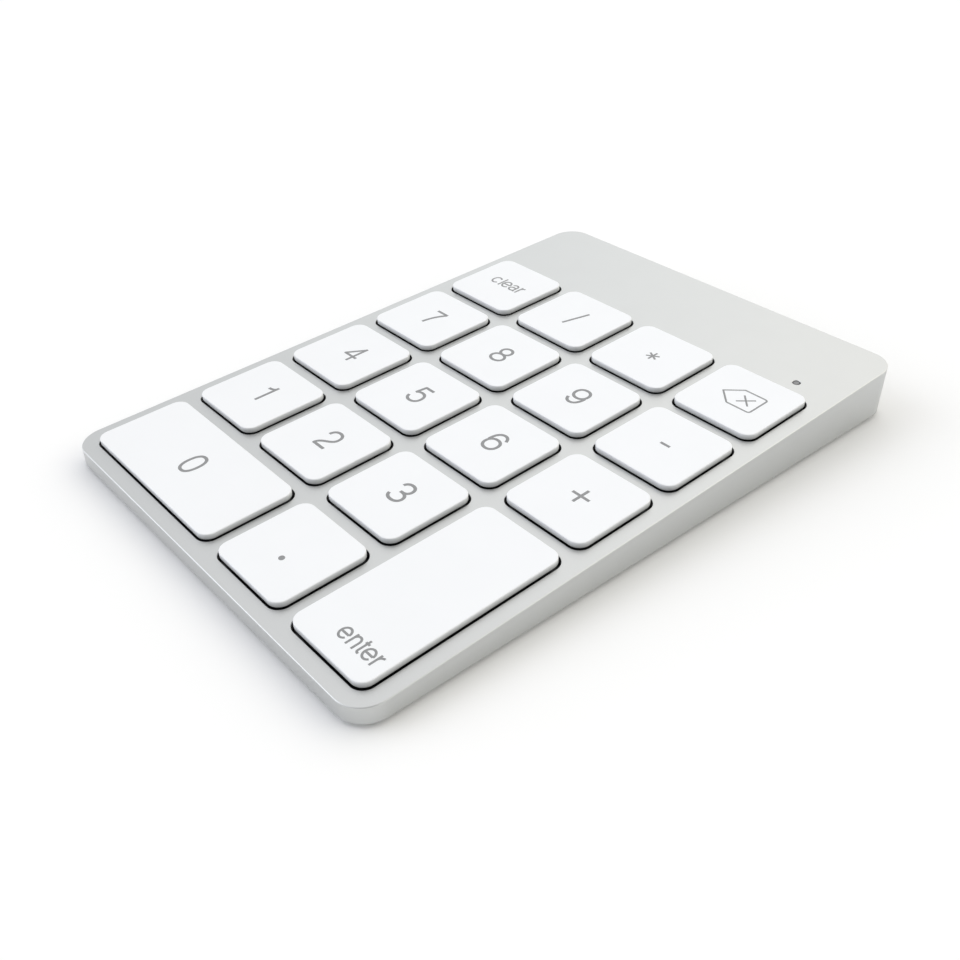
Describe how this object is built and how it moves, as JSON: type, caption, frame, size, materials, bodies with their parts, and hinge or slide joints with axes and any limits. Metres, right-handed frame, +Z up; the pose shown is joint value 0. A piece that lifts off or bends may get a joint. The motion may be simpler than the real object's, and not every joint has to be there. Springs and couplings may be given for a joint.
{
  "type": "numeric keypad",
  "caption": "Thin wireless numeric keypad: wedge-shaped aluminium housing with a sloping deck of flat square scissor keys, rear charging port, power switch and pairing button.",
  "frame": {"origin": "on the table under the middle of the housing's footprint, at the underside of the feet", "axes": "+X to the typist's right, +Y from the front edge to the rear edge, +Z up; the deck rises 3 degrees towards +Y"},
  "size_m": [0.0794, 0.1146, 0.0096],
  "materials": {
    "anodised_aluminium": "bead-blasted and clear anodised, satin",
    "white_cover": "fine moulded texture",
    "keycap_white": "smooth satin moulding with grey printed legends",
    "link_plastic": "moulded acetal",
    "foot_rubber": "matt",
    "dome_silicone": "moulded, slightly glossy",
    "black_steel": "black coated stamped sheet",
    "screw_steel": "zinc plated",
    "wire_steel": "drawn spring wire",
    "membrane_film": "black printed polyester film",
    "board_laminate": "green solder mask",
    "chip_epoxy": "moulded epoxy",
    "connector_plastic": "moulded nylon",
    "cell_foil": "laminated foil pouch",
    "wire_insulation": "extruded insulation",
    "port_steel": "stamped sheet",
    "control_plastic": "smooth moulding",
    "led_plastic": "clear yellowish resin",
    "light_pipe": "clear moulding, frosted end"
  },
  "bodies": {
    "housing": {"top_shell": "anodised_aluminium", "bottom_cover": "white_cover", "feet": "foot_rubber", "cover_screws": "screw_steel", "base_plate": "black_steel", "plate_screws": "screw_steel", "membrane_bottom_film": "membrane_film", "membrane_spacer": "membrane_film", "membrane_top_film": "membrane_film", "rubber_domes": "dome_silicone", "main_board": "board_laminate", "board_chips": "chip_epoxy", "tail_connector": "connector_plastic", "battery_cell": "cell_foil", "battery_wires": "wire_insulation", "charging_port": "port_steel", "power_switch_body": "port_steel", "pairing_switch": "connector_plastic", "status_led": "led_plastic", "status_lens": "light_pipe", "scissor_clear": "link_plastic", "scissor_divide": "link_plastic", "scissor_multiply": "link_plastic", "scissor_backspace": "link_plastic", "scissor_7": "link_plastic", "scissor_8": "link_plastic", "scissor_9": "link_plastic", "scissor_minus": "link_plastic", "scissor_4": "link_plastic", "scissor_5": "link_plastic", "scissor_6": "link_plastic", "scissor_plus": "link_plastic", "scissor_1": "link_plastic", "scissor_2": "link_plastic", "scissor_3": "link_plastic", "scissor_enter": "link_plastic", "scissor_0": "link_plastic", "scissor_point": "link_plastic"},
    "key_clear": {"keycap_clear": "keycap_white"},
    "key_divide": {"keycap_divide": "keycap_white"},
    "key_multiply": {"keycap_multiply": "keycap_white"},
    "key_backspace": {"keycap_backspace": "keycap_white"},
    "key_7": {"keycap_7": "keycap_white"},
    "key_8": {"keycap_8": "keycap_white"},
    "key_9": {"keycap_9": "keycap_white"},
    "key_minus": {"keycap_minus": "keycap_white"},
    "key_4": {"keycap_4": "keycap_white"},
    "key_5": {"keycap_5": "keycap_white"},
    "key_6": {"keycap_6": "keycap_white"},
    "key_plus": {"keycap_plus": "keycap_white"},
    "key_1": {"keycap_1": "keycap_white"},
    "key_2": {"keycap_2": "keycap_white"},
    "key_3": {"keycap_3": "keycap_white"},
    "key_enter": {"keycap_enter": "keycap_white"},
    "key_0": {"keycap_0": "keycap_white"},
    "key_point": {"keycap_point": "keycap_white"},
    "stabiliser_enter": {"stabiliser_enter": "wire_steel"},
    "stabiliser_0": {"stabiliser_0": "wire_steel"},
    "power_switch": {"power_switch_slider": "control_plastic"},
    "pairing_button": {"pairing_button": "control_plastic"}
  },
  "joints": [
    {"name": "key_clear_press", "type": "slide", "parent": "housing", "child": "key_clear", "axis": [0, 0.0523, -0.9986], "range_m": [0, 0.0012], "stiffness_N_per_m": 60, "springref_m": -0.0005, "deforming": ["scissor_clear", "rubber_domes"]},
    {"name": "key_divide_press", "type": "slide", "parent": "housing", "child": "key_divide", "axis": [0, 0.0523, -0.9986], "range_m": [0, 0.0012], "stiffness_N_per_m": 60, "springref_m": -0.0005, "deforming": ["scissor_divide", "rubber_domes"]},
    {"name": "key_multiply_press", "type": "slide", "parent": "housing", "child": "key_multiply", "axis": [0, 0.0523, -0.9986], "range_m": [0, 0.0012], "stiffness_N_per_m": 60, "springref_m": -0.0005, "deforming": ["scissor_multiply", "rubber_domes"]},
    {"name": "key_backspace_press", "type": "slide", "parent": "housing", "child": "key_backspace", "axis": [0, 0.0523, -0.9986], "range_m": [0, 0.0012], "stiffness_N_per_m": 60, "springref_m": -0.0005, "deforming": ["scissor_backspace", "rubber_domes"]},
    {"name": "key_7_press", "type": "slide", "parent": "housing", "child": "key_7", "axis": [0, 0.0523, -0.9986], "range_m": [0, 0.0012], "stiffness_N_per_m": 60, "springref_m": -0.0005, "deforming": ["scissor_7", "rubber_domes"]},
    {"name": "key_8_press", "type": "slide", "parent": "housing", "child": "key_8", "axis": [0, 0.0523, -0.9986], "range_m": [0, 0.0012], "stiffness_N_per_m": 60, "springref_m": -0.0005, "deforming": ["scissor_8", "rubber_domes"]},
    {"name": "key_9_press", "type": "slide", "parent": "housing", "child": "key_9", "axis": [0, 0.0523, -0.9986], "range_m": [0, 0.0012], "stiffness_N_per_m": 60, "springref_m": -0.0005, "deforming": ["scissor_9", "rubber_domes"]},
    {"name": "key_minus_press", "type": "slide", "parent": "housing", "child": "key_minus", "axis": [0, 0.0523, -0.9986], "range_m": [0, 0.0012], "stiffness_N_per_m": 60, "springref_m": -0.0005, "deforming": ["scissor_minus", "rubber_domes"]},
    {"name": "key_4_press", "type": "slide", "parent": "housing", "child": "key_4", "axis": [0, 0.0523, -0.9986], "range_m": [0, 0.0012], "stiffness_N_per_m": 60, "springref_m": -0.0005, "deforming": ["scissor_4", "rubber_domes"]},
    {"name": "key_5_press", "type": "slide", "parent": "housing", "child": "key_5", "axis": [0, 0.0523, -0.9986], "range_m": [0, 0.0012], "stiffness_N_per_m": 60, "springref_m": -0.0005, "deforming": ["scissor_5", "rubber_domes"]},
    {"name": "key_6_press", "type": "slide", "parent": "housing", "child": "key_6", "axis": [0, 0.0523, -0.9986], "range_m": [0, 0.0012], "stiffness_N_per_m": 60, "springref_m": -0.0005, "deforming": ["scissor_6", "rubber_domes"]},
    {"name": "key_plus_press", "type": "slide", "parent": "housing", "child": "key_plus", "axis": [0, 0.0523, -0.9986], "range_m": [0, 0.0012], "stiffness_N_per_m": 60, "springref_m": -0.0005, "deforming": ["scissor_plus", "rubber_domes"]},
    {"name": "key_1_press", "type": "slide", "parent": "housing", "child": "key_1", "axis": [0, 0.0523, -0.9986], "range_m": [0, 0.0012], "stiffness_N_per_m": 60, "springref_m": -0.0005, "deforming": ["scissor_1", "rubber_domes"]},
    {"name": "key_2_press", "type": "slide", "parent": "housing", "child": "key_2", "axis": [0, 0.0523, -0.9986], "range_m": [0, 0.0012], "stiffness_N_per_m": 60, "springref_m": -0.0005, "deforming": ["scissor_2", "rubber_domes"]},
    {"name": "key_3_press", "type": "slide", "parent": "housing", "child": "key_3", "axis": [0, 0.0523, -0.9986], "range_m": [0, 0.0012], "stiffness_N_per_m": 60, "springref_m": -0.0005, "deforming": ["scissor_3", "rubber_domes"]},
    {"name": "key_enter_press", "type": "slide", "parent": "housing", "child": "key_enter", "axis": [0, 0.0523, -0.9986], "range_m": [0, 0.0012], "stiffness_N_per_m": 60, "springref_m": -0.0005, "deforming": ["scissor_enter", "rubber_domes"]},
    {"name": "key_0_press", "type": "slide", "parent": "housing", "child": "key_0", "axis": [0, 0.0523, -0.9986], "range_m": [0, 0.0012], "stiffness_N_per_m": 60, "springref_m": -0.0005, "deforming": ["scissor_0", "rubber_domes"]},
    {"name": "key_point_press", "type": "slide", "parent": "housing", "child": "key_point", "axis": [0, 0.0523, -0.9986], "range_m": [0, 0.0012], "stiffness_N_per_m": 60, "springref_m": -0.0005, "deforming": ["scissor_point", "rubber_domes"]},
    {"name": "stabiliser_enter_swing", "type": "hinge", "parent": "housing", "child": "stabiliser_enter", "pos_m": [0.02861, -0.03712, 0.00333], "axis": [0, 0.9986, 0.0523], "range_deg": [0, 11.57]},
    {"name": "stabiliser_0_swing", "type": "hinge", "parent": "housing", "child": "stabiliser_0", "pos_m": [-0.01905, -0.04649, 0.00284], "axis": [1, 0, 0], "range_deg": [0, 11.57]},
    {"name": "power_switch_slide", "type": "slide", "parent": "housing", "child": "power_switch", "axis": [1, 0, 0], "range_m": [0, 0.002]},
    {"name": "pairing_button_press", "type": "slide", "parent": "housing", "child": "pairing_button", "axis": [0, -1, 0], "range_m": [0, 0.0004], "stiffness_N_per_m": 4, "springref_m": -0.0002}
  ],
  "couplings": [
    {"joint": "stabiliser_enter_swing", "follows": "key_enter_press", "rad_per_m": 168.04},
    {"joint": "stabiliser_0_swing", "follows": "key_0_press", "rad_per_m": 168.04}
  ]
}
